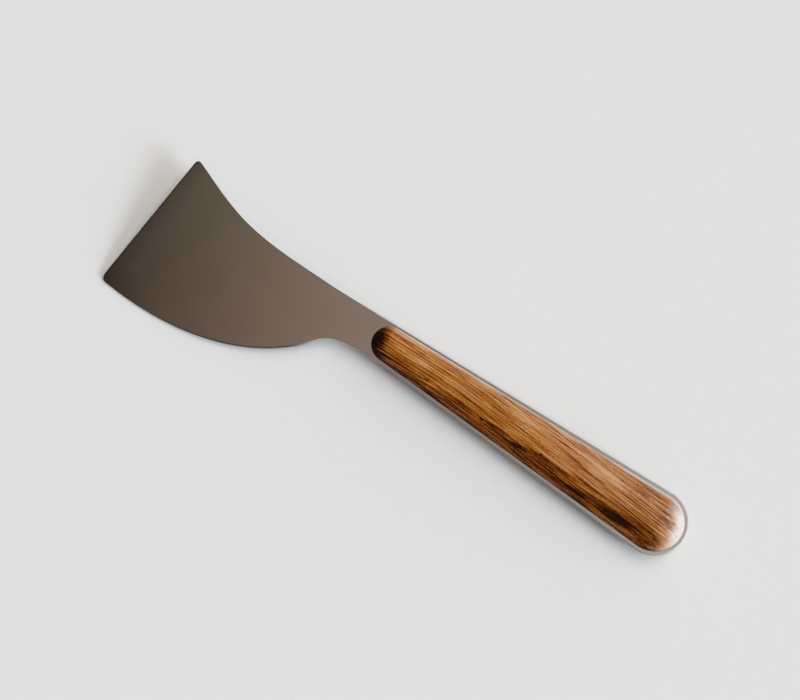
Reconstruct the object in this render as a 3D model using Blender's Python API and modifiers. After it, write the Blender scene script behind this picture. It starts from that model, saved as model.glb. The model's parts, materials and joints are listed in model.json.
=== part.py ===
"""Cheese spreader: one stainless sheet is blade, neck and full tang, between two domed wooden scales.

Metres, +Z up. The pieces are modelled in the knife's own frame: x runs from the blade to the butt with
zero at the front end of the scales, y points to the spine side and z is square to the sheet. An empty then
lays the whole knife down the way it lies on a table, on the back scale's crown and the blade's belly tip.
"""

import math

import bmesh
import bpy
from mathutils import Matrix, Vector

# Handle: both scales share one outline, a taper with round ends
SCALE_LENGTH = 0.1158
SCALE_FRONT_RADIUS = 0.00577
SCALE_BUTT_RADIUS = 0.0092
SCALE_HEIGHT = 0.0054

# Steel sheet: the ledge is the bare margin of tang that shows round each scale
TANG_THICKNESS = 0.0018
FRONT_LEDGE = 0.00085
BUTT_LEDGE = 0.0012
STEEL_EDGE_BREAK = 0.0003

# Blade: reaches run forward from the scales' front end, rises and drops run from the handle's axis,
# and a pull is the length of a curve's tangent handle
BLADE_REACH = 0.0884
WORKING_EDGE_SLANT = 0.0020
WORKING_EDGE_THICKNESS = 0.0009
GRIND_REACH = 0.0180
UPPER_TIP_SETBACK = 0.0018
UPPER_TIP_RISE = 0.0169
UPPER_TIP_ANGLE = math.radians(21.0)
BELLY_TIP_DROP = 0.0356
BELLY_TIP_SETBACK = 0.0024
BELLY_TIP_PULL = 0.0040
BELLY_DEPTH = 0.0360
BELLY_DEPTH_REACH = 0.0758
BELLY_PULL = 0.0296
HEEL_REACH = 0.0148
HEEL_DROP = 0.0121
HEEL_ANGLE = math.radians(51.5)
HEEL_PULL = 0.0182
NOTCH_REACH = 0.0089
NOTCH_DROP = 0.0082
NOTCH_ANGLE = math.radians(11.0)
NOTCH_PULL = 0.0021
NOTCH_RUNOUT = 0.0130
RUNOUT_PULL = 0.0070
NECK_REACH = 0.0250
NECK_RISE = 0.0057
SPINE_TIP_PULL = 0.0250
SPINE_NECK_PULL = 0.0312
NECK_PULL = 0.0090

# Hidden pins cross the tang and end blind inside both scales
PIN_NAMES = ("front_pin", "middle_pin", "rear_pin")
PIN_RADIUS = 0.0015
PIN_EMBED = 0.0030
PIN_CHAMFER = 0.0003
PIN_CLEARANCE = 0.0002
PIN_FRONT_SETBACK = 0.0190
PIN_REAR_SETBACK = 0.0200

# Cured adhesive film between each scale and the tang
BOND_THICKNESS = 0.00015
BOND_INSET = 0.0002
SEAT_GAP = 0.00002

# Facets
ARC_SPANS = 4
OUTLINE_STEPS = 24
DOME_MERIDIANS = 64
DOME_RINGS = 33
PIN_SIDES = 24
EDGE_STEPS = 2
WELD_DISTANCE = 0.000001
FLAT_ANGLE = math.radians(0.1)
SHARP_ANGLE = math.radians(40.0)

# Finishes: linear colour, roughness and metallic share
STEEL_FINISH = ((0.42, 0.39, 0.36, 1.0), 0.32, 1.0)
WOOD_FINISH = ((0.34, 0.15, 0.05, 1.0), 0.45, 0.0)
BOND_FINISH = ((0.03, 0.02, 0.012, 1.0), 0.50, 0.0)

# Search for the angle at which the knife lies
STEEPEST_ROLL = math.radians(45.0)
ROLL_ROUNDS = 50

# Places that follow from the sizes above
FRONT_CENTRE = SCALE_FRONT_RADIUS
BUTT_CENTRE = SCALE_LENGTH - SCALE_BUTT_RADIUS
TANG_FRONT_HALF = SCALE_FRONT_RADIUS + FRONT_LEDGE
TANG_BUTT_RADIUS = SCALE_BUTT_RADIUS + BUTT_LEDGE
BOND_SEAT = TANG_THICKNESS / 2 + SEAT_GAP
SCALE_SEAT = BOND_SEAT + BOND_THICKNESS + SEAT_GAP
PIN_HALF_LENGTH = SCALE_SEAT + PIN_EMBED


def clear_scene():
    for item in list(bpy.data.objects):
        bpy.data.objects.remove(item, do_unlink=True)


def new_collection(name):
    collection = bpy.data.collections.new(name)
    bpy.context.scene.collection.children.link(collection)
    return collection


def finish(name, look):
    colour, roughness, metallic = look
    material = bpy.data.materials.new(name)
    material.use_nodes = True
    shader = material.node_tree.nodes["Principled BSDF"]
    shader.inputs["Base Color"].default_value = colour
    shader.inputs["Roughness"].default_value = roughness
    shader.inputs["Metallic"].default_value = metallic
    material.diffuse_color = colour
    return material


def heading(angle, length):
    return Vector((math.cos(angle), math.sin(angle))) * length


def taper_angle(front_centre, front_radius, butt_centre, butt_radius):
    """Angle that a straight side tangent to two round ends makes with the axis."""
    return math.asin((butt_radius - front_radius) / (butt_centre - front_centre))


def arc_pull(turn, radius):
    """Length of the tangent handles that make one spline span follow a circle through a turn."""
    return 4.0 / 3.0 * math.tan(turn / 4.0) * radius


def arc(centre_x, radius, start, end):
    """Spline points along an arc about a place on the handle's axis, each with its two handles."""
    step = (end - start) / ARC_SPANS
    pull = arc_pull(step, radius)
    points = []
    for index in range(ARC_SPANS + 1):
        angle = start + index * step
        place = Vector((centre_x, 0.0)) + heading(angle, radius)
        along = heading(angle + math.pi / 2, pull)
        points.append([place, place - along, place + along])
    return points


def straighten(points, first, second):
    """Make the run from one spline point to the next a straight line."""
    a = points[first]
    b = points[second]
    a[2] = a[0].lerp(b[0], 1.0 / 3.0)
    b[1] = a[0].lerp(b[0], 2.0 / 3.0)


def scale_outline(inset):
    """Round-ended taper of a scale's base, drawn in by an inset."""
    front = SCALE_FRONT_RADIUS - inset
    butt = SCALE_BUTT_RADIUS - inset
    lean = taper_angle(FRONT_CENTRE, front, BUTT_CENTRE, butt)
    side = math.pi / 2 + lean
    points = arc(BUTT_CENTRE, butt, -side, side)
    points += arc(FRONT_CENTRE, front, side, 2 * math.pi - side)
    straighten(points, ARC_SPANS, ARC_SPANS + 1)
    straighten(points, -1, 0)
    return points


def round_corner(corner, towards_before, towards_after, setback):
    """Two spline points that turn a corner of the outline into an arc which starts a setback away from it."""
    turn = math.pi - towards_before.angle(towards_after)
    radius = setback / math.tan(turn / 2.0)
    pull = arc_pull(turn, radius)
    before = towards_before.normalized()
    after = towards_after.normalized()
    start = corner + before * setback
    end = corner + after * setback
    return [
        [start, start, start - before * pull],
        [end, end - after * pull, end],
    ]


def steel_outline():
    """Blade, neck and tang in one closed line: butt, spine, working edge, belly and notch."""
    lean = taper_angle(FRONT_CENTRE, TANG_FRONT_HALF, BUTT_CENTRE, TANG_BUTT_RADIUS)
    side = math.pi / 2 + lean
    butt = arc(BUTT_CENTRE, TANG_BUTT_RADIUS, -side, side)
    side_top = Vector((FRONT_CENTRE, 0.0)) + heading(side, TANG_FRONT_HALF)
    side_low = Vector((NOTCH_RUNOUT, -side_top.y - (NOTCH_RUNOUT - side_top.x) * math.tan(lean)))

    neck = Vector((-NECK_REACH, NECK_RISE))
    upper_tip = Vector((WORKING_EDGE_SLANT - BLADE_REACH, UPPER_TIP_RISE))
    belly_tip = Vector((-BLADE_REACH, -BELLY_TIP_DROP))
    deepest = Vector((-BELLY_DEPTH_REACH, -BELLY_DEPTH))
    heel = Vector((-HEEL_REACH, -HEEL_DROP))
    notch = Vector((-NOTCH_REACH, -NOTCH_DROP))
    backward = Vector((1.0, 0.0))
    spine_way = heading(-UPPER_TIP_ANGLE, 1.0)
    heel_way = heading(HEEL_ANGLE, 1.0)
    notch_way = heading(NOTCH_ANGLE, 1.0)

    upper = round_corner(upper_tip, spine_way, belly_tip - upper_tip, UPPER_TIP_SETBACK)
    lower = round_corner(belly_tip, upper_tip - belly_tip, deepest - belly_tip, BELLY_TIP_SETBACK)
    upper[0][1] = upper[0][0] + spine_way * SPINE_TIP_PULL
    lower[1][2] = lower[1][0] + (deepest - belly_tip).normalized() * BELLY_TIP_PULL
    spine = [
        [side_top, side_top, side_top - heading(lean, NECK_PULL)],
        [neck, neck + backward * NECK_PULL, neck - backward * SPINE_NECK_PULL],
    ]
    belly = [
        [deepest, deepest - backward * BELLY_TIP_PULL, deepest + backward * BELLY_PULL],
        [heel, heel - heel_way * HEEL_PULL, heel + heel_way * NOTCH_PULL],
        [notch, notch - notch_way * NOTCH_PULL, notch + notch_way * RUNOUT_PULL],
        [side_low, side_low - heading(-lean, RUNOUT_PULL), side_low],
    ]
    points = butt + spine + upper + lower + belly
    edge_start = ARC_SPANS + len(spine) + len(upper)
    straighten(points, ARC_SPANS, ARC_SPANS + 1)
    straighten(points, edge_start, edge_start + 1)
    straighten(points, -1, 0)
    return points


def plate(points, thickness):
    """Closed mesh of a flat outline, extruded evenly to both sides of z = 0."""
    curve = bpy.data.curves.new("outline", "CURVE")
    curve.dimensions = "2D"
    curve.fill_mode = "BOTH"
    curve.extrude = thickness / 2
    curve.resolution_u = OUTLINE_STEPS
    spline = curve.splines.new("BEZIER")
    spline.bezier_points.add(len(points) - 1)
    spline.use_cyclic_u = True
    for knot, (place, before, after) in zip(spline.bezier_points, points):
        knot.handle_left_type = "FREE"
        knot.handle_right_type = "FREE"
        knot.co = place.to_3d()
        knot.handle_left = before.to_3d()
        knot.handle_right = after.to_3d()
    outline = bpy.data.objects.new("outline", curve)
    bpy.context.scene.collection.objects.link(outline)
    evaluated = outline.evaluated_get(bpy.context.evaluated_depsgraph_get())
    mesh = bpy.data.meshes.new_from_object(evaluated)
    bpy.data.objects.remove(outline, do_unlink=True)
    shape = bmesh.new()
    shape.from_mesh(mesh)
    bmesh.ops.remove_doubles(shape, verts=shape.verts, dist=WELD_DISTANCE)
    bmesh.ops.dissolve_limit(shape, angle_limit=FLAT_ANGLE, verts=shape.verts, edges=shape.edges)
    bmesh.ops.recalc_face_normals(shape, faces=shape.faces)
    shape.to_mesh(mesh)
    shape.free()
    return mesh


def add_piece(name, mesh, material, parent, collection):
    mesh.name = name
    mesh.materials.clear()
    mesh.materials.append(material)
    mesh.shade_smooth()
    mesh.set_sharp_from_angle(angle=SHARP_ANGLE)
    piece = bpy.data.objects.new(name, mesh)
    piece.parent = parent
    collection.objects.link(piece)
    return piece


def bore(piece, cutters):
    for cutter in cutters:
        cut = piece.modifiers.new("bore", "BOOLEAN")
        cut.operation = "DIFFERENCE"
        cut.solver = "EXACT"
        cut.object = cutter


def blade_mesh():
    """The sheet: even thickness through tang and neck, ground thinner from there to the working edge."""
    mesh = plate(steel_outline(), TANG_THICKNESS)
    shape = bmesh.new()
    shape.from_mesh(mesh)
    bmesh.ops.bisect_plane(
        shape,
        geom=shape.verts[:] + shape.edges[:] + shape.faces[:],
        dist=WELD_DISTANCE,
        plane_co=(-GRIND_REACH, 0.0, 0.0),
        plane_no=(1.0, 0.0, 0.0),
    )
    thinning = 1.0 - WORKING_EDGE_THICKNESS / TANG_THICKNESS
    for vert in shape.verts:
        run = max(0.0, -GRIND_REACH - vert.co.x) / (BLADE_REACH - GRIND_REACH)
        vert.co.z *= 1.0 - thinning * run
    shape.to_mesh(mesh)
    shape.free()
    return mesh


def add_blade(parent, collection, cutters):
    steel = finish("satin_steel", STEEL_FINISH)
    blade = add_piece("blade_tang", blade_mesh(), steel, parent, collection)
    rounding = blade.modifiers.new("edge_break", "BEVEL")
    rounding.width = STEEL_EDGE_BREAK
    rounding.segments = EDGE_STEPS
    rounding.limit_method = "ANGLE"
    rounding.angle_limit = SHARP_ANGLE
    bore(blade, cutters)
    return blade


def scale_mesh():
    """Half of a sphere pulled apart at its waist: a domed bar with one small and one large round end."""
    shape = bmesh.new()
    bmesh.ops.create_uvsphere(
        shape,
        u_segments=DOME_MERIDIANS,
        v_segments=DOME_RINGS,
        radius=1.0,
        matrix=Matrix.Rotation(math.pi / 2, 4, "Y"),
    )
    below = [vert for vert in shape.verts if vert.co.z < -WELD_DISTANCE]
    bmesh.ops.delete(shape, geom=below, context="VERTS")
    rim = [edge for edge in shape.edges if edge.is_boundary]
    bmesh.ops.contextual_create(shape, geom=rim)
    for vert in shape.verts:
        at_butt = vert.co.x > 0.0
        radius = SCALE_BUTT_RADIUS if at_butt else SCALE_FRONT_RADIUS
        centre = BUTT_CENTRE if at_butt else FRONT_CENTRE
        vert.co = Vector((centre + vert.co.x * radius, vert.co.y * radius, vert.co.z * SCALE_HEIGHT))
    bmesh.ops.recalc_face_normals(shape, faces=shape.faces)
    mesh = bpy.data.meshes.new("scale")
    shape.to_mesh(mesh)
    shape.free()
    return mesh


def add_scale(name, side, parent, collection, cutters):
    """side is +1 on the front of the tang and -1 on its back."""
    wood = finish(name + "_wood", WOOD_FINISH)
    scale = add_piece(name, scale_mesh(), wood, parent, collection)
    scale.location.z = side * SCALE_SEAT
    scale.rotation_euler.x = 0.0 if side > 0 else math.pi
    bore(scale, cutters)
    return scale


def add_bond_line(name, side, parent, collection, cutters):
    adhesive = finish(name + "_adhesive", BOND_FINISH)
    film = add_piece(name, plate(scale_outline(BOND_INSET), BOND_THICKNESS), adhesive, parent, collection)
    film.location.z = side * (BOND_SEAT + BOND_THICKNESS / 2)
    bore(film, cutters)
    return film


def rod(name, radius, half_length):
    shape = bmesh.new()
    bmesh.ops.create_cone(
        shape,
        cap_ends=True,
        segments=PIN_SIDES,
        radius1=radius,
        radius2=radius,
        depth=2 * half_length,
    )
    mesh = bpy.data.meshes.new(name)
    shape.to_mesh(mesh)
    shape.free()
    return mesh


def pin_places():
    first = PIN_FRONT_SETBACK
    last = SCALE_LENGTH - PIN_REAR_SETBACK
    spacing = (last - first) / (len(PIN_NAMES) - 1)
    return [first + index * spacing for index in range(len(PIN_NAMES))]


def add_pin_cutters(parent, collection):
    """One bore for each pin, wider and longer than it, shared by tang, films and scales."""
    cutters = []
    for place in pin_places():
        mesh = rod("pin_bore", PIN_RADIUS + PIN_CLEARANCE, PIN_HALF_LENGTH + PIN_CLEARANCE)
        cutter = bpy.data.objects.new("pin_bore", mesh)
        cutter.parent = parent
        cutter.location.x = place
        cutter.hide_render = True
        cutter.display_type = "WIRE"
        collection.objects.link(cutter)
        cutters.append(cutter)
    return cutters


def add_pins(parent, collection):
    for name, place in zip(PIN_NAMES, pin_places()):
        steel = finish(name + "_steel", STEEL_FINISH)
        pin = add_piece(name, rod(name, PIN_RADIUS, PIN_HALF_LENGTH), steel, parent, collection)
        pin.location.x = place
        chamfer = pin.modifiers.new("chamfer", "BEVEL")
        chamfer.width = PIN_CHAMFER
        chamfer.segments = 1
        chamfer.limit_method = "ANGLE"
        chamfer.angle_limit = SHARP_ANGLE


def corners_of(piece):
    """A piece's evaluated vertices in the knife's own frame."""
    depsgraph = bpy.context.evaluated_depsgraph_get()
    mesh = piece.evaluated_get(depsgraph).data
    return [piece.matrix_world @ vert.co for vert in mesh.vertices]


def height(point, roll):
    return point.y * math.sin(roll) + point.z * math.cos(roll)


def lay_down(rest, blade, back_scale):
    """Roll the knife about its length until belly tip and back crown lie level, then stand it on z = 0."""
    bpy.context.view_layer.update()
    steel = corners_of(blade)
    wood = corners_of(back_scale)
    low = 0.0
    high = STEEPEST_ROLL
    for _ in range(ROLL_ROUNDS):
        roll = (low + high) / 2
        if min(height(point, roll) for point in steel) > min(height(point, roll) for point in wood):
            low = roll
        else:
            high = roll
    rest.rotation_euler.x = roll
    laid = [Matrix.Rotation(roll, 3, "X") @ point for point in steel + wood]
    floor = min(point.z for point in laid)
    middle_x = (min(point.x for point in laid) + max(point.x for point in laid)) / 2
    middle_y = (min(point.y for point in laid) + max(point.y for point in laid)) / 2
    rest.location = (-middle_x, -middle_y, -floor)
    bpy.context.view_layer.update()


def main():
    clear_scene()
    parts = new_collection("cheese_spreader")
    guides = new_collection("cutters")
    rest = bpy.data.objects.new("rest_pose", None)
    parts.objects.link(rest)

    cutters = add_pin_cutters(rest, guides)
    blade = add_blade(rest, parts, cutters)
    add_scale("front_scale", 1, rest, parts, cutters)
    back_scale = add_scale("back_scale", -1, rest, parts, cutters)
    add_bond_line("front_bond_line", 1, rest, parts, cutters)
    add_bond_line("back_bond_line", -1, rest, parts, cutters)
    add_pins(rest, parts)
    lay_down(rest, blade, back_scale)


main()
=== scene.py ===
"""Looks of a cheese spreader: satin steel sheet, two figured wooden scales, a pale table and window light."""

import json
import math

import bmesh
import bpy
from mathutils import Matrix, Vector

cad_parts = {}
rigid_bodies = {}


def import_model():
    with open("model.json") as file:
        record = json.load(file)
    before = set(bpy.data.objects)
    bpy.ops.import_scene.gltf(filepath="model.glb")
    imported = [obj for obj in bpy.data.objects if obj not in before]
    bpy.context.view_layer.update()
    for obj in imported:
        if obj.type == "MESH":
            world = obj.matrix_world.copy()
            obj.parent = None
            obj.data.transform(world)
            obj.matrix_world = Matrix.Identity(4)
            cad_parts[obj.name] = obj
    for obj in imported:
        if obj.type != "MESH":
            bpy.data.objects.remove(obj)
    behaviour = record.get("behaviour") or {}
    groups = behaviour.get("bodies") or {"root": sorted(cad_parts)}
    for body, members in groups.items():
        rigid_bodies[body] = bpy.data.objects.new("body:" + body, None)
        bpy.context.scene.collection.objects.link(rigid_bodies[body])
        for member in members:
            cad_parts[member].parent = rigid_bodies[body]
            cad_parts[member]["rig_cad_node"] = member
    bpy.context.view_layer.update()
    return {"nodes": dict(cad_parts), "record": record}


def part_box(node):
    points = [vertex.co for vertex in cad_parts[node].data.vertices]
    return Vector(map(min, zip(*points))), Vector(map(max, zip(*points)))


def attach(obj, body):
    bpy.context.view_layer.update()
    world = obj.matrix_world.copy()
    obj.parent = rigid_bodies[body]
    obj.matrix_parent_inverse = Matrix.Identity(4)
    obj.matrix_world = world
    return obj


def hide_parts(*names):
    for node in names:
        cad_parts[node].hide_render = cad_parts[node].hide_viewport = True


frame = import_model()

bl_info = {
    "name": "Cheese spreader",
    "version": (1, 0, 0),
    "blender": (4, 5, 0),
    "location": "View3D > Sidebar > Spreader",
    "description": "Dresses the packed cheese spreader in satin steel and figured wood on a pale table",
    "category": "Object",
}

MILLIMETRE = 0.001
WOOD_LOW, WOOD_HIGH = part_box("front_scale")
PIN_LOW, PIN_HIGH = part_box("middle_pin")
PIN_NAMES = ("front_pin", "middle_pin", "rear_pin")
FILM_NAMES = ("front_bond_line", "back_bond_line")

# Modelling, in metres: how near points merge, how thin a sliver is dropped, how near a cut takes a point
MERGE_REACH = 0.000001
SLIVER = 0.000005
CUT_REACH = 0.00001
# Angles below which faces count as flat or are shaded smooth, and above which the wood's rim is rounded
FLAT_ANGLE = math.radians(1.0)
SHEET_SMOOTH_ANGLE = math.radians(12.0)
WOOD_SMOOTH_ANGLE = math.radians(35.0)
RIM_ANGLE = math.radians(60.0)
RIM_FACETS = 3
BORE_FACETS = 32
SELECT_MODES = {"verts": "VERT", "edges": "EDGE"}

# Noise in the wood: cell sizes in millimetres along the fibres, across them and into the wood, and detail
SWAY_NOISE = ((24.0, 5.0, 5.0), 2.0)
BAND_NOISE = ((32.0, 4.5, 5.5), 2.0)
STRAND_NOISE = ((20.0, 0.42, 2.5), 1.0)
THREAD_NOISE = ((9.0, 0.24, 1.6), 1.0)
FLECK_NOISE = ((0.9, 0.26, 0.9), 1.0)
FRAY_NOISE = ((40.0, 0.40, 3.0), 1.0)
PORE_NOISE = ((11.0, 0.27, 2.0), 1.0)
# Run of the fibres: front slope, the bend's start, softness and slope, sway, and the back scale's shift
FIBRE_SLOPE = -0.025
BEND_START = 34.0
BEND_SOFTNESS = 20.0
BEND_SLOPE = 0.085
FIBRE_SWAY = 0.7
BACK_SHIFT = 260.0
# Tone of plain wood, and what each part adds to it: the wood's figure, and painted shade, painted sheen and
# painted highlight
PLAIN_TONE = 0.74
BAND_TONE = 1.1
STRAND_TONE = 1.3
THREAD_TONE = 1.5
FLECK_TONE = 0.8
SPINE_TONE = 0.13
# A band of the wood darker towards the belly side
BELLY_BAND_TONE = -0.48
VEIN_TONE = 0.30
PORE_TONE = -0.28
# Dark front end: dark end grain, and painted shade where the front end faces away from the light
END_GRAIN_AND_SHADE_TONE = -0.95
# Painted shade: a dark line at the base of the wood along the belly side, where the joint lies in shade
JOINT_SHADE_TONE = -0.7
# Pale wood: worn wood and painted sheen at the butt's end, and a painted highlight along the spine edge
WEAR_AND_SHEEN_TONE = 0.45
# Steps in the wood, in millimetres of the knife's own frame: where a change starts and where it is full
SPINE_SIDE = (1.5, 5.0)
# Band darker towards the belly side: where it starts and where it is full, and the run over which it widens
BELLY_BAND_SIDE = (-1.2, -6.0)
BELLY_BAND_WIDENING_RUN = (60.0, 90.0)
VEIN_WIDTH = (0.32, 0.08)
VEIN_RUN = (44.0, 52.0)
# Dark front end, end grain and painted shade: where it starts and where it is full
END_GRAIN_AND_SHADE_RUN = (8.0, 1.2)
# Painted shade at the belly-side joint: the height and side it reaches
JOINT_SHADE_HEIGHT = (1.9, 1.2)
JOINT_SHADE_SIDE = (-2.0, -4.5)
JOINT_HEIGHT = (2.3, 1.3)
# Where the pale wood lies: worn wood and painted sheen at the butt's end, a painted highlight along the spine
# edge
WEAR_AND_SHEEN_HEIGHT = (6.4, 3.2)
WEAR_AND_SHEEN_RUN = (106.0, 113.0)
WEAR_AND_SHEEN_SIDE = (-10.0, -1.0)
SPINE_HIGHLIGHT_HEIGHT = (4.1, 3.0)
SPINE_HIGHLIGHT_SIDE = (3.0, 5.5)
SPINE_HIGHLIGHT_START = (3.0, 7.0)
SPINE_HIGHLIGHT_FRONT = (52.0, 34.0)
SPINE_HIGHLIGHT_BUTT = (84.0, 93.0)
POLISH_RUN = (45.0, 85.0)
POLISH_SIDE = (-6.0, -1.0)
# Shape of those parts: the belly band's widening and wave, the vein's place and slope, and the slant and fray
# of the dark front end, which is dark end grain and painted shade
BELLY_BAND_WIDENING = 1.4
BELLY_BAND_WAVE = 2.4
VEIN_PLACE = 7.4
VEIN_SLOPE = 0.0425
END_GRAIN_AND_SHADE_SLANT = 0.55
END_GRAIN_AND_SHADE_FRAY = 3.6
# The pale butt end's comb and lean (worn wood and painted sheen), the least share of the painted highlight
# along the spine edge, and the heart marks' fray, streaks and body
WEAR_AND_SHEEN_COMB = 3.4
WEAR_AND_SHEEN_LEAN = -0.25
SPINE_HIGHLIGHT_LEAST = 0.4
MARK_FRAY = 1.6
MARK_STREAKS = 2.2
MARK_BODY = 0.9
# Steps of noise that count as pores, and of tone that count as sound, oiled wood
PORE_STEP = (0.08, 0.22)
SOUND_STEP = (0.20, 0.80)
# Roughness of dry wood and joint, sheen of dry, oiled, spine-side and polished wood, and relief in metres
DRY_ROUGHNESS = 0.60
JOINT_ROUGHNESS = 0.30
DRY_SHEEN = 0.05
OIL_SHEEN = 0.12
SPINE_SHEEN = 0.5
POLISH_SHEEN = 0.45
GRAIN_DEPTH = 0.00004
GRAIN_STRENGTH = 0.5
PORE_RELIEF = -0.6
# Zones of the wood: steps along and across in millimetres, and tone
NOSE_BELLY = ((26.0, 8.0), (-2.0, -5.0), -0.15)
BUTT_RISE = ((90.0, 102.0), (-6.5, -1.0), -0.29)
BUTT_END = ((103.0, 112.0), (-6.5, -1.0), -0.29)
BUTT_BELLY = ((105.0, 111.0), (-1.5, -4.0), 0.13)
WOOD_ZONES = (NOSE_BELLY, BUTT_RISE, BUTT_END, BUTT_BELLY)
# Heart marks on the wood: millimetres along and across, half length, half width and depth of tone
FRONT_MARKS = (
    (97.0, -6.3, 10.5, 1.6, 0.40),
    (104.0, -5.2, 3.0, 0.8, 0.20),
    (99.5, -4.4, 7.0, 0.7, 0.20),
    (97.0, -5.3, 7.0, 1.0, 0.18),
    (88.0, -1.9, 8.0, 1.3, -0.20),
    (81.5, -6.4, 6.0, 0.7, 0.40),
    (71.0, -4.0, 9.0, 1.1, 0.27),
    (67.0, -3.0, 0.6, 0.4, 1.2),
    (59.0, -4.8, 4.0, 0.7, 0.55),
    (49.0, -4.4, 8.0, 1.4, 0.22),
    (48.5, -3.9, 3.2, 0.6, 0.30),
    (41.0, 0.8, 8.0, 2.4, -0.13),
    (45.0, -4.1, 0.9, 0.5, 0.45),
    (23.7, -3.5, 1.3, 0.5, 0.35),
    (7.4, -4.3, 1.5, 0.7, 0.40),
    (9.0, 2.7, 3.2, 0.22, 0.15),
    (18.5, 2.7, 3.6, 0.24, 0.30),
    (28.5, 3.2, 2.8, 0.26, 0.30),
    (26.5, 1.8, 5.0, 0.28, 0.30),
    (15.0, -2.2, 6.5, 0.26, 0.32),
    (27.0, -0.7, 1.6, 0.45, 0.32),
    (100.0, 4.3, 3.5, 0.6, 0.12),
    (108.0, 3.4, 4.5, 1.2, 0.10),
    # This lighter streak at the butt's end is partly painted sheen
    (110.8, -1.3, 3.2, 2.0, -0.28),
    (71.0, 0.8, 14.0, 2.8, 0.20),
    (78.0, 3.7, 8.0, 1.0, 0.12),
    (9.5, 3.9, 3.5, 0.7, -0.22),
    (30.0, 1.8, 7.0, 1.2, 0.14),
    (78.0, -3.8, 5.5, 1.1, 0.25),
    (54.0, -3.7, 5.0, 0.8, 0.18),
)
BACK_MARKS = (
    (38.0, 3.6, 12.0, 1.1, 0.40),
    (84.0, 5.8, 9.0, 1.3, 0.45),
    (61.0, -1.0, 2.2, 0.5, 0.30),
)

# Noise in the steel: cell sizes in millimetres along, across and out of the sheet, and detail
GRIND_NOISE = ((30.0, 0.10, 0.10), 2.0)
HAZE_NOISE = ((22.0, 14.0, 14.0), 2.0)
# Working edge of the blade, in millimetres of the knife's own frame
EDGE_REACH = 88.4
EDGE_LOW = -35.6
EDGE_SLANT = 0.038
# Steps in the steel: how squarely a face lies in the sheet, and millimetres along, across and from the edge
RIM_FACING = (0.99, 0.93)
BLADE_RIM_RUN = (-14.0, -22.0)
TANG_RIM_RUN = (-6.0, 0.0)
EDGE_MARGIN = (7.0, 0.5)
EDGE_LIP = (1.2, 0.3)
TIP_RUN = (-66.0, -86.0)
TIP_SIDE = (-25.0, -37.0)
# What each part adds to the steel's shade, the haze as random tone and the rest as painted dark reflection
# and painted shade, and the darkest shade
HAZE_SHADE = 0.10
BLADE_RIM_SHADE = -0.88
TANG_RIM_SHADE = -0.35
EDGE_MARGIN_SHADE = -0.16
EDGE_LIP_SHADE = -0.30
TIP_SHADE = -0.30
DARKEST_SHADE = 0.10
# Roughness that grind lines and the tang's rim add, and relief of the grind lines in metres
GRIND_ROUGHNESS = 0.08
TANG_RIM_ROUGHNESS = 0.35
GRIND_DEPTH = 0.000004
GRIND_STRENGTH = 0.25

# Adhesive: noise of its grime in millimetres and detail, colours by grime, and roughness
GRIME_NOISE = ((3.0, 1.5, 1.5), 3.0)
FILM_STOPS = (
    (0.3, (0.010, 0.006, 0.004, 1.0)),
    (0.7, (0.040, 0.024, 0.014, 1.0)),
)
FILM_ROUGHNESS = 0.5

# Table: size in metres, noise of its flecks in metres and detail, their share, roughness and sheen
TABLE_SIZE = 30.0
TABLE_NOISE = ((0.004, 0.004, 0.004), 3.0)
TABLE_FLECK = 0.03
TABLE_ROUGHNESS = 0.85
TABLE_SHEEN = 0.2

# Room: upward part of a direction over which the walls turn into the ceiling, and the furthest lean to a side
ROOM_CORNICE = (0.70, 0.85)
ROOM_REACH = 1.08
# Tones of ceiling and walls, by how far a direction leans to their bright side
CEILING_BRIGHT_SIDE = (1.0, 0.4, 0.0)
CEILING_TONES = (
    (-0.60, (0.035, 0.024, 0.017, 1.0)),
    (-0.45, (0.040, 0.028, 0.019, 1.0)),
    (-0.42, (0.105, 0.070, 0.051, 1.0)),
    (-0.35, (0.247, 0.165, 0.124, 1.0)),
    (-0.30, (0.365, 0.262, 0.207, 1.0)),
    (-0.25, (0.390, 0.288, 0.232, 1.0)),
    (-0.20, (0.410, 0.355, 0.305, 1.0)),
    (-0.10, (0.450, 0.410, 0.365, 1.0)),
    (0.00, (0.520, 0.495, 0.465, 1.0)),
    (0.12, (1.20, 1.19, 1.18, 1.0)),
    (0.30, (3.30, 3.30, 3.30, 1.0)),
    (0.50, (4.70, 4.70, 4.70, 1.0)),
)
WALL_BRIGHT_SIDE = (0.75, 0.75, 0.0)
WALL_TONES = (
    (-1.08, (0.225, 0.20, 0.175, 1.0)),
    (-0.35, (0.225, 0.20, 0.175, 1.0)),
    (0.20, (0.32, 0.32, 0.32, 1.0)),
    (0.60, (0.62, 0.62, 0.62, 1.0)),
    (1.08, (0.75, 0.75, 0.75, 1.0)),
)
# Spots of the room: direction, and half angles of reach and core
DAYLIGHT_SPOT = (Vector((0.981, 0.194, 0.0)), math.radians(40.6), math.radians(27.3))
DAYLIGHT_TONE = (2.90, 2.90, 2.90, 1.0)
COOL_SPOT = (Vector((-0.400, 0.005, 0.917)), math.radians(4.2), math.radians(0.6))
COOL_TINT = (0.87, 1.27, 1.28, 1.0)
# Camera: sensor width in millimetres and nearest distance in metres
SENSOR_WIDTH = 36.0
NEAREST_VIEW = 0.01


def sheet_roll():
    """Angle about the handle's length at which the sheet lies on the table."""
    face = next(m for m in frame["record"]["mounts"] if m["name"] == "front_blade_face")
    return math.atan2(-face["axis"][1], face["axis"][2])


KNIFE_ROLL = sheet_roll()
KNIFE_PLACE = Vector((WOOD_LOW.x, (PIN_LOW.y + PIN_HIGH.y) / 2, (PIN_LOW.z + PIN_HIGH.z) / 2))
SHEET_NORMAL = (0.0, -math.sin(KNIFE_ROLL), math.cos(KNIFE_ROLL))


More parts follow.
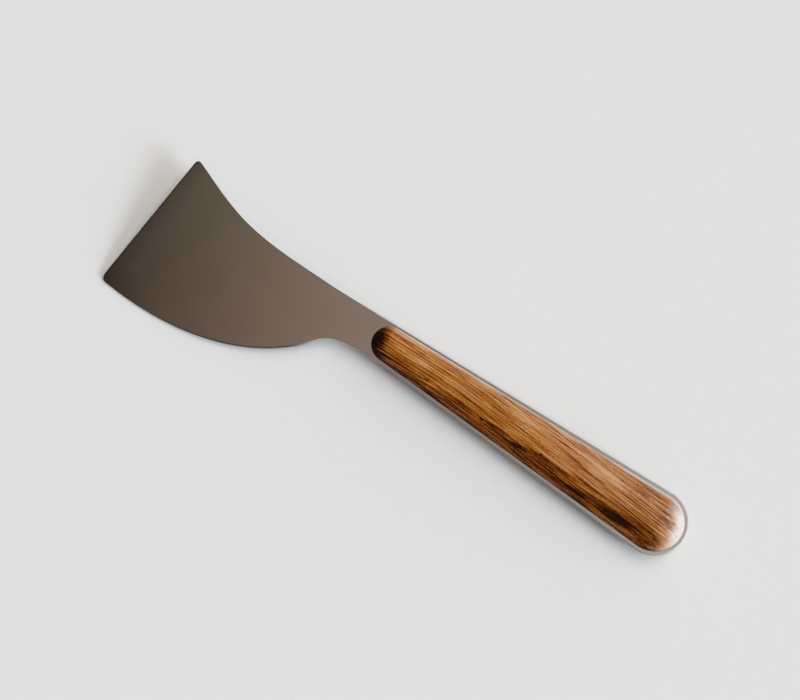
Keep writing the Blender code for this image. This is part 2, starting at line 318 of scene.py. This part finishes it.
class SpreaderHandleSizes(bpy.types.PropertyGroup):
    """Sizes of the two scales, as in the solids."""

    front_radius: bpy.props.FloatProperty(
        name="Front radius", description="Round front end of a scale", default=0.00577, unit="LENGTH")
    butt_radius: bpy.props.FloatProperty(
        name="Butt radius", description="Round butt end of a scale", default=0.0092, unit="LENGTH")
    height: bpy.props.FloatProperty(
        name="Height", description="Crown of a scale above its flat base", default=0.0054, unit="LENGTH")
    seat: bpy.props.FloatProperty(
        name="Seat", description="Base of a scale from the middle of the sheet",
        default=0.00109, unit="LENGTH")
    rim_round: bpy.props.FloatProperty(
        name="Rim round", description="Rounding where the dome meets the base",
        default=0.00022, unit="LENGTH")
    bore_room: bpy.props.FloatProperty(
        name="Bore room", description="Room round each pin in its blind bore", default=0.0002, unit="LENGTH")
    bore_depth: bpy.props.FloatProperty(
        name="Bore depth", description="Depth of each blind bore in the flat of a scale",
        default=0.0032, unit="LENGTH")
    meridians: bpy.props.IntProperty(
        name="Meridians", description="Faces round a scale's full section", default=128)
    rings: bpy.props.IntProperty(
        name="Rings", description="Faces from pole to pole of the round ends", default=65)
    length_cuts: bpy.props.IntProperty(
        name="Length cuts", description="Cuts along the straight run between the round ends", default=48)


class SpreaderWoodLook(bpy.types.PropertyGroup):
    """Colours and figure of the handle's wood."""

    pale: bpy.props.FloatVectorProperty(
        name="Pale", description="Palest fibres", subtype="COLOR", size=4,
        default=(0.48, 0.26, 0.12, 1.0))
    light: bpy.props.FloatVectorProperty(
        name="Light", description="Light early wood", subtype="COLOR", size=4,
        default=(0.42, 0.185, 0.052, 1.0))
    warm: bpy.props.FloatVectorProperty(
        name="Warm", description="Main tone of the wood", subtype="COLOR", size=4,
        default=(0.37, 0.124, 0.005, 1.0))
    russet: bpy.props.FloatVectorProperty(
        name="Russet", description="Darker fibres", subtype="COLOR", size=4,
        default=(0.24, 0.055, 0.002, 1.0))
    brown: bpy.props.FloatVectorProperty(
        name="Brown", description="Late wood along the belly side", subtype="COLOR", size=4,
        default=(0.12, 0.027, 0.001, 1.0))
    dark: bpy.props.FloatVectorProperty(
        name="Dark", description="Heart streaks and end grain", subtype="COLOR", size=4,
        default=(0.012, 0.0025, 0.0008, 1.0))
    # The pale colour is worn wood and painted sheen at the butt, and a painted highlight along the spine edge
    pale_wear_and_sheen: bpy.props.FloatVectorProperty(
        name="Worn", description="Dry, worn fibres at the end of the butt and along the spine edge",
        subtype="COLOR", size=4, default=(0.50, 0.452, 0.425, 1.0))
    wear_and_sheen_share: bpy.props.FloatProperty(
        name="Wear", description="Share of the finish worn off there", default=0.90, min=0.0, max=1.0,
        subtype="FACTOR")
    gloss: bpy.props.FloatProperty(
        name="Roughness", description="Roughness of the oiled face", default=0.33, subtype="FACTOR")


class SpreaderSteelLook(bpy.types.PropertyGroup):
    """Colour and satin of the sheet."""

    colour: bpy.props.FloatVectorProperty(
        name="Colour", description="Satin stainless steel", subtype="COLOR", size=4,
        default=(0.58, 0.55, 0.52, 1.0))
    satin: bpy.props.FloatProperty(
        name="Roughness", description="Roughness of the satin face", default=0.17, subtype="FACTOR")


class SpreaderStageLook(bpy.types.PropertyGroup):
    """Table, light and camera."""

    table: bpy.props.FloatVectorProperty(
        name="Table", description="Colour of the pale table", subtype="COLOR", size=4,
        default=(0.643, 0.628, 0.610, 1.0))
    sun_strength: bpy.props.FloatProperty(
        name="Window strength", description="Strength of the soft window light", default=1.78)
    sun_tint: bpy.props.FloatVectorProperty(
        name="Window tint", description="Cool colour of the window light", subtype="COLOR", size=3,
        default=(0.83, 1.00, 1.18), soft_max=2.0)
    sun_size: bpy.props.FloatProperty(
        name="Window size", description="Angle the window spans",
        default=math.radians(18.0), subtype="ANGLE")
    sun_bearing: bpy.props.FloatProperty(
        name="Window bearing", description="Bearing of the window from +X",
        default=math.radians(-3.0), subtype="ANGLE")
    sun_height: bpy.props.FloatProperty(
        name="Window height", description="Height of the window over the table",
        default=math.radians(25.5), subtype="ANGLE")
    camera_bearing: bpy.props.FloatProperty(
        name="Camera bearing", description="Camera's turn round the object",
        default=math.radians(35.71), subtype="ANGLE")
    camera_height: bpy.props.FloatProperty(
        name="Camera height", description="Camera's angle over the table",
        default=math.radians(68.0), subtype="ANGLE")
    camera_distance: bpy.props.FloatProperty(
        name="Camera distance", description="Camera's distance from its aim", default=0.4596, unit="LENGTH")
    camera_aim: bpy.props.FloatVectorProperty(
        name="Camera aim", description="Point in the middle of the picture", subtype="XYZ", unit="LENGTH",
        default=(-0.006084, 0.012171, 0.000997))
    camera_lens: bpy.props.FloatProperty(
        name="Lens", description="Focal length on a 36 mm wide sensor, in millimetres", default=63.0)


class Nodes:
    """A tree built node by node; each input is a number, a colour or an earlier node's output."""

    def __init__(self, tree):
        self.tree = tree

    def add(self, kind, **settings):
        made = self.tree.nodes.new(kind)
        for name, value in settings.items():
            setattr(made, name, value)
        return made

    def feed(self, socket, value):
        if isinstance(value, bpy.types.NodeSocket):
            self.tree.links.new(value, socket)
        else:
            socket.default_value = value

    def calc(self, operation, first, second=0.0, third=0.0):
        made = self.add("ShaderNodeMath", operation=operation)
        for socket, value in zip(made.inputs, (first, second, third)):
            self.feed(socket, value)
        return made.outputs[0]

    def plus(self, base, part, share):
        """A base with its share of a part added."""
        return self.calc("MULTIPLY_ADD", part, share, base)

    def times(self, first, *others):
        """Product of two or more values."""
        product = first
        for other in others:
            product = self.calc("MULTIPLY", product, other)
        return product

    def step(self, value, span):
        """Smooth step from 0 at the span's first value to 1 at its second, which may be the smaller."""
        made = self.add("ShaderNodeMapRange", interpolation_type="SMOOTHSTEP")
        self.feed(made.inputs["Value"], value)
        made.inputs["From Min"].default_value = span[0]
        made.inputs["From Max"].default_value = span[1]
        return made.outputs[0]

    def vector(self, x, y, z):
        made = self.add("ShaderNodeCombineXYZ")
        for socket, value in zip(made.inputs, (x, y, z)):
            self.feed(socket, value)
        return made.outputs[0]

    def parts(self, vector):
        """The three numbers of a vector."""
        made = self.add("ShaderNodeSeparateXYZ")
        self.feed(made.inputs[0], vector)
        return tuple(made.outputs)

    def lean(self, vector, side):
        """How far a vector leans to a side."""
        made = self.add("ShaderNodeVectorMath", operation="DOT_PRODUCT")
        self.feed(made.inputs[0], vector)
        made.inputs[1].default_value = side
        return made.outputs["Value"]

    def cloud(self, places, sizes, detail):
        """Noise from 0 to 1 whose cells have these sizes along the three places, in the places' unit."""
        scaled = self.add("ShaderNodeVectorMath", operation="DIVIDE")
        self.feed(scaled.inputs[0], places)
        scaled.inputs[1].default_value = sizes
        made = self.add("ShaderNodeTexNoise", noise_dimensions="3D", normalize=True)
        self.feed(made.inputs["Vector"], scaled.outputs[0])
        made.inputs["Scale"].default_value = 1.0
        made.inputs["Detail"].default_value = detail
        made.inputs["Roughness"].default_value = 0.5
        return made.outputs[0]

    def swing(self, places, sizes, detail):
        """The same noise about 0."""
        return self.calc("SUBTRACT", self.cloud(places, sizes, detail), 0.5)

    def ramp(self, value, stops):
        made = self.add("ShaderNodeValToRGB")
        band = made.color_ramp
        while len(band.elements) < len(stops):
            band.elements.new(0.5)
        for element, (place, colour) in zip(band.elements, stops):
            element.position = place
            element.color = colour
        self.feed(made.inputs[0], value)
        return made.outputs[0]

    def mix(self, share, first, second, blend="MIX"):
        made = self.add("ShaderNodeMix", data_type="RGBA", blend_type=blend)
        self.feed(made.inputs[0], share)
        self.feed(made.inputs[6], first)
        self.feed(made.inputs[7], second)
        return made.outputs[2]

    def shaded(self, colour, shade):
        """A colour, made lighter or darker."""
        return self.mix(1.0, colour, self.vector(shade, shade, shade), "MULTIPLY")


class Finish(Nodes):
    """One material with its shader."""

    def __init__(self, name):
        self.material = bpy.data.materials.new(name)
        self.material.use_nodes = True
        super().__init__(self.material.node_tree)
        self.shader = self.tree.nodes["Principled BSDF"]

    def knife_places(self):
        """Millimetres along, across and out of the sheet, from the front end of the scales."""
        turned = self.add("ShaderNodeMapping", vector_type="TEXTURE")
        turned.inputs["Location"].default_value = KNIFE_PLACE
        turned.inputs["Rotation"].default_value = (KNIFE_ROLL, 0.0, 0.0)
        turned.inputs["Scale"].default_value = (MILLIMETRE, MILLIMETRE, MILLIMETRE)
        self.feed(turned.inputs["Vector"], self.add("ShaderNodeTexCoord").outputs["Object"])
        return self.parts(turned.outputs["Vector"])

    def relief(self, height, depth, strength):
        made = self.add("ShaderNodeBump")
        made.inputs["Strength"].default_value = strength
        made.inputs["Distance"].default_value = depth
        self.feed(made.inputs["Height"], height)
        self.feed(self.shader.inputs["Normal"], made.outputs[0])


def fibre_places(wood, along, across, out, figure_shift):
    """Places along, across and into the fibres, which slope, bend towards the butt and sway a little."""
    shifted = wood.calc("ADD", along, figure_shift)
    bend = wood.calc("SMOOTH_MAX", wood.calc("SUBTRACT", along, BEND_START), 0.0, BEND_SOFTNESS)
    straight = wood.plus(wood.plus(across, along, FIBRE_SLOPE), bend, BEND_SLOPE)
    sway = wood.swing(wood.vector(shifted, straight, out), *SWAY_NOISE)
    return wood.vector(shifted, wood.plus(straight, sway, FIBRE_SWAY), out)


def heart_mark(wood, along, across, fray, oval):
    """Soft oval mark on the wood with frayed ends, 1 in its middle."""
    middle_along, middle_across, half_length, half_width = oval
    run = wood.calc("DIVIDE", wood.calc("SUBTRACT", along, middle_along), half_length)
    run = wood.calc("ADD", run, fray)
    rise = wood.calc("DIVIDE", wood.calc("SUBTRACT", across, middle_across), half_width)
    return wood.step(wood.calc("MULTIPLY_ADD", run, run, wood.times(rise, rise)), (1.0, 0.0))


def worn_wood_and_sheen(wood, along, across, height, comb, wear_and_sheen_share):
    """Share of pale wood: dry, worn wood and painted sheen, combed into the fibres at the butt, and a painted
    highlight along the spine edge.
    """
    wear_and_sheen_line = wood.plus(wood.plus(height, across, WEAR_AND_SHEEN_LEAN), comb, WEAR_AND_SHEEN_COMB)
    butt = wood.times(
        wood.step(wear_and_sheen_line, WEAR_AND_SHEEN_HEIGHT), wood.step(along, WEAR_AND_SHEEN_RUN), wood.step(across, WEAR_AND_SHEEN_SIDE))
    # Painted highlight along the spine edge, stronger towards both ends
    ends = wood.calc("MAXIMUM", wood.step(along, SPINE_HIGHLIGHT_FRONT), wood.step(along, SPINE_HIGHLIGHT_BUTT))
    spine_highlight = wood.times(
        wood.plus(SPINE_HIGHLIGHT_LEAST, ends, 1.0 - SPINE_HIGHLIGHT_LEAST), wood.step(along, SPINE_HIGHLIGHT_START),
        wood.step(height, SPINE_HIGHLIGHT_HEIGHT), wood.step(across, SPINE_HIGHLIGHT_SIDE))
    return wood.times(wood.calc("MAXIMUM", butt, spine_highlight), wear_and_sheen_share)


def scale_wood(name, look, marks, figure_shift):
    """Figured brown wood: fine fibres and pores, dark heart streaks, a band darker towards the belly side, a
    dark front end of end grain and painted shade, painted shade at the belly-side joint, a pale butt end of
    worn wood and painted sheen, and a painted highlight along the spine edge.
    """
    wood = Finish(name)
    along, across, out = wood.knife_places()
    height = wood.calc("ABSOLUTE", out)
    fibres = fibre_places(wood, along, across, out, figure_shift)

    band = wood.swing(fibres, *BAND_NOISE)
    strand = wood.swing(fibres, *STRAND_NOISE)
    thread = wood.swing(fibres, *THREAD_NOISE)
    fleck = wood.swing(fibres, *FLECK_NOISE)
    fray = wood.swing(fibres, *FRAY_NOISE)
    pore = wood.step(wood.swing(fibres, *PORE_NOISE), PORE_STEP)
    comb = wood.calc("ADD", strand, thread)

    spine_side = wood.step(across, SPINE_SIDE)
    # Wood darker towards the belly side, widening towards the butt
    belly_band_line = wood.plus(across, wood.step(along, BELLY_BAND_WIDENING_RUN), BELLY_BAND_WIDENING)
    belly_band = wood.step(wood.plus(belly_band_line, band, BELLY_BAND_WAVE), BELLY_BAND_SIDE)
    vein_gap = wood.calc("SUBTRACT", wood.plus(across, along, VEIN_SLOPE), VEIN_PLACE)
    vein_gap = wood.calc("ABSOLUTE", vein_gap)
    vein = wood.times(wood.step(vein_gap, VEIN_WIDTH), wood.step(along, VEIN_RUN))
    # Dark front end: partly dark end grain, partly painted shade where it faces away from the light
    slant = wood.plus(along, wood.calc("MAXIMUM", across, 0.0), END_GRAIN_AND_SHADE_SLANT)
    end_grain_and_shade = wood.step(wood.plus(slant, fray, END_GRAIN_AND_SHADE_FRAY), END_GRAIN_AND_SHADE_RUN)
    # Painted shade at the base of the wood along the belly side, where the joint lies in shade
    grime_and_joint_shade = wood.times(wood.step(height, JOINT_SHADE_HEIGHT), wood.step(across, JOINT_SHADE_SIDE))
    # Pale wood mixed into the colour: worn wood and painted sheen at the butt, a painted highlight along the
    # spine edge
    pale_wear_and_sheen = worn_wood_and_sheen(wood, along, across, height, comb, look.wear_and_sheen_share)

    tone = PLAIN_TONE
    for part, share in (
        (band, BAND_TONE), (strand, STRAND_TONE), (thread, THREAD_TONE), (fleck, FLECK_TONE),
        (spine_side, SPINE_TONE), (belly_band, BELLY_BAND_TONE), (vein, VEIN_TONE), (pore, PORE_TONE),
        (end_grain_and_shade, END_GRAIN_AND_SHADE_TONE), (grime_and_joint_shade, JOINT_SHADE_TONE), (pale_wear_and_sheen, WEAR_AND_SHEEN_TONE),
    ):
        tone = wood.plus(tone, part, share)
    for run, side, share in WOOD_ZONES:
        tone = wood.plus(tone, wood.times(wood.step(along, run), wood.step(across, side)), share)
    mark_fray = wood.times(fray, MARK_FRAY)
    streaks = wood.plus(MARK_BODY, comb, MARK_STREAKS)
    for *oval, depth in marks:
        spot = heart_mark(wood, along, across, mark_fray, oval)
        tone = wood.plus(tone, wood.times(spot, streaks), -depth)

    colour = wood.ramp(tone, (
        (0.02, look.dark[:]),
        (0.33, look.brown[:]),
        (0.50, look.russet[:]),
        (0.72, look.warm[:]),
        (0.92, look.light[:]),
        (1.00, look.pale[:]),
    ))
    wood.feed(wood.shader.inputs["Base Color"], wood.mix(pale_wear_and_sheen, colour, look.pale_wear_and_sheen[:]))
    sound = wood.step(tone, SOUND_STEP)
    matt = wood.plus(DRY_ROUGHNESS, sound, look.gloss - DRY_ROUGHNESS)
    joint = wood.step(height, JOINT_HEIGHT)
    wood.feed(wood.shader.inputs["Roughness"], wood.plus(matt, joint, JOINT_ROUGHNESS))
    polished = wood.times(wood.step(along, POLISH_RUN), wood.step(across, POLISH_SIDE))
    polish = wood.plus(wood.plus(OIL_SHEEN, spine_side, SPINE_SHEEN), polished, POLISH_SHEEN)
    wood.feed(wood.shader.inputs["Specular IOR Level"], wood.plus(DRY_SHEEN, sound, polish))
    wood.relief(wood.plus(comb, pore, PORE_RELIEF), GRAIN_DEPTH, GRAIN_STRENGTH)
    return wood.material


def sheet_steel(name, look):
    """Satin stainless steel with faint lengthwise grind lines and a random haze, painted dark reflection on
    the blade's rim, along its working edge and towards its belly tip, and a dull tang rim darkened by painted
    shade.
    """
    steel = Finish(name)
    along, across, out = steel.knife_places()
    places = steel.vector(along, across, out)
    grind = steel.cloud(places, *GRIND_NOISE)
    haze = steel.swing(places, *HAZE_NOISE)

    facing = steel.lean(steel.add("ShaderNodeNewGeometry").outputs["Normal"], SHEET_NORMAL)
    rim = steel.step(steel.calc("ABSOLUTE", facing), RIM_FACING)
    # Painted dark reflection on the rim walls of the blade
    blade_rim_painted_dark = steel.times(rim, steel.step(along, BLADE_RIM_RUN))
    # Tang rim: rougher, and darker as painted shade
    tang_rim_dull_and_painted_dark = steel.times(rim, steel.step(along, TANG_RIM_RUN))
    edge_line = steel.plus(-EDGE_REACH, steel.calc("SUBTRACT", across, EDGE_LOW), EDGE_SLANT)
    edge_gap = steel.calc("SUBTRACT", along, edge_line)
    # Painted dark reflection towards the belly tip of the blade
    painted_dark_tip = steel.times(steel.step(along, TIP_RUN), steel.step(across, TIP_SIDE))

    shade = 1.0
    for part, share in (
        (haze, HAZE_SHADE), (blade_rim_painted_dark, BLADE_RIM_SHADE), (tang_rim_dull_and_painted_dark, TANG_RIM_SHADE),
        # Painted dark reflection along the working edge, and a painted dark line at the edge itself
        (steel.step(edge_gap, EDGE_MARGIN), EDGE_MARGIN_SHADE),
        (steel.step(edge_gap, EDGE_LIP), EDGE_LIP_SHADE), (painted_dark_tip, TIP_SHADE),
    ):
        shade = steel.plus(shade, part, share)
    shade = steel.calc("MAXIMUM", shade, DARKEST_SHADE)

    steel.feed(steel.shader.inputs["Base Color"], steel.shaded(look.colour[:], shade))
    steel.shader.inputs["Metallic"].default_value = 1.0
    satin = steel.plus(look.satin - GRIND_ROUGHNESS / 2, grind, GRIND_ROUGHNESS)
    steel.feed(steel.shader.inputs["Roughness"], steel.plus(satin, tang_rim_dull_and_painted_dark, TANG_RIM_ROUGHNESS))
    steel.relief(grind, GRIND_DEPTH, GRIND_STRENGTH)
    return steel.material


def film_adhesive(name):
    """Dark cured adhesive with a little grime."""
    film = Finish(name)
    grime_and_joint_shade = film.cloud(film.vector(*film.knife_places()), *GRIME_NOISE)
    film.feed(film.shader.inputs["Base Color"], film.ramp(grime_and_joint_shade, FILM_STOPS))
    film.shader.inputs["Roughness"].default_value = FILM_ROUGHNESS
    return film.material


def table_paper(name, colour):
    """Plain pale table."""
    table = Finish(name)
    fleck = table.swing(table.add("ShaderNodeTexCoord").outputs["Object"], *TABLE_NOISE)
    shade = table.plus(1.0, fleck, TABLE_FLECK)
    table.feed(table.shader.inputs["Base Color"], table.shaded(colour[:], shade))
    table.shader.inputs["Roughness"].default_value = TABLE_ROUGHNESS
    table.shader.inputs["Specular IOR Level"].default_value = TABLE_SHEEN
    return table.material


def deselect():
    if bpy.context.mode != "OBJECT":
        bpy.ops.object.mode_set(mode="OBJECT")
    bpy.ops.object.select_all(action="DESELECT")


def make_active(piece):
    deselect()
    piece.select_set(True)
    bpy.context.view_layer.objects.active = piece


def select_in_mesh(piece, part, test):
    """Select the vertices or edges of a mesh in edit mode that pass a test."""
    bpy.ops.mesh.select_all(action="DESELECT")
    shape = bmesh.from_edit_mesh(piece.data)
    bpy.ops.mesh.select_mode(type=SELECT_MODES[part])
    found = [item for item in getattr(shape, part) if test(item)]
    for item in found:
        item.select_set(True)
    shape.select_flush_mode()
    bmesh.update_edit_mesh(piece.data)
    if not found:
        raise RuntimeError(f"nothing to select on {piece.name}")


def apply_modifier(piece, kind, **settings):
    make_active(piece)
    made = piece.modifiers.new(kind.lower(), kind)
    for name, value in settings.items():
        setattr(made, name, value)
    bpy.ops.object.modifier_apply(modifier=made.name)


def apply_place(piece, place, roll=0.0):
    """Move and roll a piece, and put its place into its mesh."""
    piece.location = place
    piece.rotation_euler = (roll, 0.0, 0.0)
    make_active(piece)
    bpy.ops.object.transform_apply(location=True, rotation=True, scale=True)


def dress(piece, material):
    piece.data.materials.clear()
    piece.data.materials.append(material)


class SPREADER_OT_blade(bpy.types.Operator):
    """Make the visible steel sheet: blade, neck and tang"""

    bl_idname = "spreader.blade"
    bl_label = "Steel sheet"

    def execute(self, context):
        make_active(frame["nodes"]["blade_tang"])
        bpy.ops.object.duplicate()
        sheet = context.active_object
        sheet.name = "steel_sheet"
        del sheet["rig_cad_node"]
        bpy.ops.object.mode_set(mode="EDIT")
        bpy.ops.mesh.select_all(action="SELECT")
        bpy.ops.mesh.remove_doubles(threshold=MERGE_REACH)
        bpy.ops.mesh.dissolve_degenerate(threshold=SLIVER)
        bpy.ops.mesh.dissolve_limited(angle_limit=FLAT_ANGLE)
        bpy.ops.object.mode_set(mode="OBJECT")
        bpy.ops.object.shade_smooth_by_angle(angle=SHEET_SMOOTH_ANGLE)
        apply_modifier(sheet, "WEIGHTED_NORMAL", keep_sharp=True, weight=100)
        dress(sheet, sheet_steel("satin_steel", context.scene.spreader_steel))
        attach(sheet, "root")
        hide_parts("blade_tang")
        return {"FINISHED"}


class SPREADER_OT_scales(bpy.types.Operator):
    """Make the two domed wooden scales with their blind pin bores"""

    bl_idname = "spreader.scales"
    bl_label = "Wooden scales"

    def execute(self, context):
        sizes = context.scene.spreader_handle
        look = context.scene.spreader_wood
        for name, node, turn_over, marks, figure_shift in (
            ("front_wood", "front_scale", 0.0, FRONT_MARKS, 0.0),
            ("back_wood", "back_scale", math.pi, BACK_MARKS, BACK_SHIFT),
        ):
            scale = self.half_capsule(context, name, sizes)
            apply_modifier(
                scale, "BEVEL", width=sizes.rim_round, segments=RIM_FACETS,
                limit_method="ANGLE", angle_limit=RIM_ANGLE)
            self.bore(context, scale, sizes)
            apply_place(scale, (0.0, 0.0, sizes.seat))
            apply_place(scale, KNIFE_PLACE, KNIFE_ROLL + turn_over)
            bpy.ops.object.shade_smooth_by_angle(angle=WOOD_SMOOTH_ANGLE)
            dress(scale, scale_wood(name + "_figure", look, marks, figure_shift))
            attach(scale, "root")
            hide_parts(node)
        return {"FINISHED"}

    def half_capsule(self, context, name, sizes):
        """Half of a sphere, cut flat, whose two ends are sized and pulled apart to the handle's length."""
        length = WOOD_HIGH.x - WOOD_LOW.x
        deselect()
        bpy.ops.mesh.primitive_uv_sphere_add(
            segments=sizes.meridians, ring_count=sizes.rings, radius=1.0, rotation=(0.0, math.pi / 2, 0.0))
        scale = context.active_object
        scale.name = name
        bpy.ops.object.transform_apply(location=False, rotation=True, scale=False)
        bpy.ops.object.mode_set(mode="EDIT")
        bpy.ops.mesh.select_all(action="SELECT")
        bpy.ops.mesh.bisect(
            plane_co=(0.0, 0.0, 0.0), plane_no=(0.0, 0.0, 1.0),
            use_fill=True, clear_inner=True, threshold=CUT_REACH)
        for radius, centre, test in (
            (sizes.front_radius, sizes.front_radius,
             lambda vert: vert.co.x < 0.0),
            (sizes.butt_radius, length - sizes.butt_radius,
             lambda vert: vert.co.x > 0.0 and vert.co.length > 0.5),
        ):
            select_in_mesh(scale, "verts", test)
            bpy.ops.transform.resize(value=(radius, radius, sizes.height), center_override=(0.0, 0.0, 0.0))
            bpy.ops.transform.translate(value=(centre, 0.0, 0.0))
        select_in_mesh(scale, "edges", lambda edge: abs(edge.verts[0].co.x - edge.verts[1].co.x) > length / 2)
        bpy.ops.mesh.subdivide(number_cuts=sizes.length_cuts)
        bpy.ops.object.mode_set(mode="OBJECT")
        return scale

    def bore(self, context, scale, sizes):
        """Blind bores for the pins, with a little room round each."""
        for pin in PIN_NAMES:
            low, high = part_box(pin)
            radius = (high.x - low.x) / 2 + sizes.bore_room
            deselect()
            bpy.ops.mesh.primitive_cylinder_add(
                vertices=BORE_FACETS, radius=radius, depth=2 * sizes.bore_depth,
                location=((low.x + high.x) / 2 - KNIFE_PLACE.x, 0.0, 0.0))
            cutter = context.active_object
            apply_modifier(scale, "BOOLEAN", operation="DIFFERENCE", solver="EXACT", object=cutter)
            bpy.data.objects.remove(cutter, do_unlink=True)


class SPREADER_OT_fixings(bpy.types.Operator):
    """Finish the hidden pins and the adhesive films"""

    bl_idname = "spreader.fixings"
    bl_label = "Pins and adhesive"

    def execute(self, context):
        pin_steel = sheet_steel("pin_steel_turned", context.scene.spreader_steel)
        for name in PIN_NAMES:
            dress(frame["nodes"][name], pin_steel)
        adhesive = film_adhesive("cured_adhesive")
        for name in FILM_NAMES:
            dress(frame["nodes"][name], adhesive)
        return {"FINISHED"}


class SPREADER_OT_stage(bpy.types.Operator):
    """Add the table, the window light, the room and the camera"""

    bl_idname = "spreader.stage"
    bl_label = "Stage"

    def execute(self, context):
        look = context.scene.spreader_stage
        deselect()
        bpy.ops.mesh.primitive_plane_add(size=TABLE_SIZE)
        table = context.active_object
        table.name = "table"
        table.data.materials.append(table_paper("pale_table", look.table))
        self.add_window(context, look)
        self.add_room(context)
        self.add_camera(context, look)
        return {"FINISHED"}

    def add_window(self, context, look):
        deselect()
        bpy.ops.object.light_add(type="SUN")
        window = context.active_object
        window.name = "window"
        window.data.energy = look.sun_strength
        window.data.angle = look.sun_size
        window.data.color = look.sun_tint
        towards = Vector((
            math.cos(look.sun_height) * math.cos(look.sun_bearing),
            math.cos(look.sun_height) * math.sin(look.sun_bearing),
            math.sin(look.sun_height),
        ))
        window.rotation_euler = towards.to_track_quat("Z", "Y").to_euler()

    def add_room(self, context):
        """Room light: a ceiling dim and warm over the blade, walls brighter towards the window, daylight."""
        room = bpy.data.worlds.new("room")
        context.scene.world = room
        room.use_nodes = True
        nodes = Nodes(room.node_tree)
        towards = nodes.add("ShaderNodeTexCoord").outputs["Generated"]
        walls = self.tones(nodes, towards, WALL_BRIGHT_SIDE, WALL_TONES)
        ceiling = self.tones(nodes, towards, CEILING_BRIGHT_SIDE, CEILING_TONES)
        light = nodes.mix(nodes.step(nodes.parts(towards)[2], ROOM_CORNICE), walls, ceiling)
        light = nodes.mix(self.spot(nodes, towards, *DAYLIGHT_SPOT), light, DAYLIGHT_TONE)
        light = nodes.mix(self.spot(nodes, towards, *COOL_SPOT), light, COOL_TINT, "MULTIPLY")
        nodes.feed(nodes.tree.nodes["Background"].inputs["Color"], light)

    def tones(self, nodes, towards, bright_side, tones):
        """Colour of a wall or ceiling by how far a direction leans to its bright side."""
        span = 2 * ROOM_REACH
        share = nodes.plus(0.5, nodes.lean(towards, bright_side), 1.0 / span)
        return nodes.ramp(share, [((place + ROOM_REACH) / span, colour) for place, colour in tones])

    def spot(self, nodes, towards, side, reach, core):
        """Share from 0 to 1 of a round spot of the room: 1 within its core, 0 beyond its reach."""
        return nodes.step(nodes.lean(towards, side.normalized()), (math.cos(reach), math.cos(core)))

    def add_camera(self, context, look):
        deselect()
        back = Vector((
            math.sin(look.camera_bearing) * math.cos(look.camera_height),
            -math.cos(look.camera_bearing) * math.cos(look.camera_height),
            math.sin(look.camera_height),
        ))
        bpy.ops.object.camera_add(location=Vector(look.camera_aim) + back * look.camera_distance)
        camera = context.active_object
        camera.rotation_euler = back.to_track_quat("Z", "Y").to_euler()
        camera.data.lens = look.camera_lens
        camera.data.sensor_width = SENSOR_WIDTH
        camera.data.sensor_fit = "HORIZONTAL"
        camera.data.clip_start = NEAREST_VIEW
        context.scene.camera = camera
        context.scene.view_settings.view_transform = "Standard"


class VIEW3D_PT_spreader(bpy.types.Panel):
    """Lists the spreader's pieces"""

    bl_label = "Cheese spreader"
    bl_space_type = "VIEW_3D"
    bl_region_type = "UI"
    bl_category = "Spreader"

    def draw(self, context):
        for operator in OPERATORS:
            self.layout.operator(operator.bl_idname)
        for group_name in GROUPS:
            group = getattr(context.scene, group_name)
            box = self.layout.box()
            for name in group.bl_rna.properties.keys():
                if name not in ("rna_type", "name"):
                    box.prop(group, name)


GROUPS = {
    "spreader_handle": SpreaderHandleSizes,
    "spreader_wood": SpreaderWoodLook,
    "spreader_steel": SpreaderSteelLook,
    "spreader_stage": SpreaderStageLook,
}
OPERATORS = (SPREADER_OT_blade, SPREADER_OT_scales, SPREADER_OT_fixings, SPREADER_OT_stage)


def register():
    for name, group in GROUPS.items():
        bpy.utils.register_class(group)
        setattr(bpy.types.Scene, name, bpy.props.PointerProperty(type=group))
    for operator in OPERATORS:
        bpy.utils.register_class(operator)
    bpy.utils.register_class(VIEW3D_PT_spreader)


def unregister():
    bpy.utils.unregister_class(VIEW3D_PT_spreader)
    for operator in reversed(OPERATORS):
        bpy.utils.unregister_class(operator)
    for name, group in GROUPS.items():
        delattr(bpy.types.Scene, name)
        bpy.utils.unregister_class(group)


def main():
    register()
    bpy.ops.spreader.blade()
    bpy.ops.spreader.scales()
    bpy.ops.spreader.fixings()
    bpy.ops.spreader.stage()
    deselect()


if __name__ == "__main__":
    main()
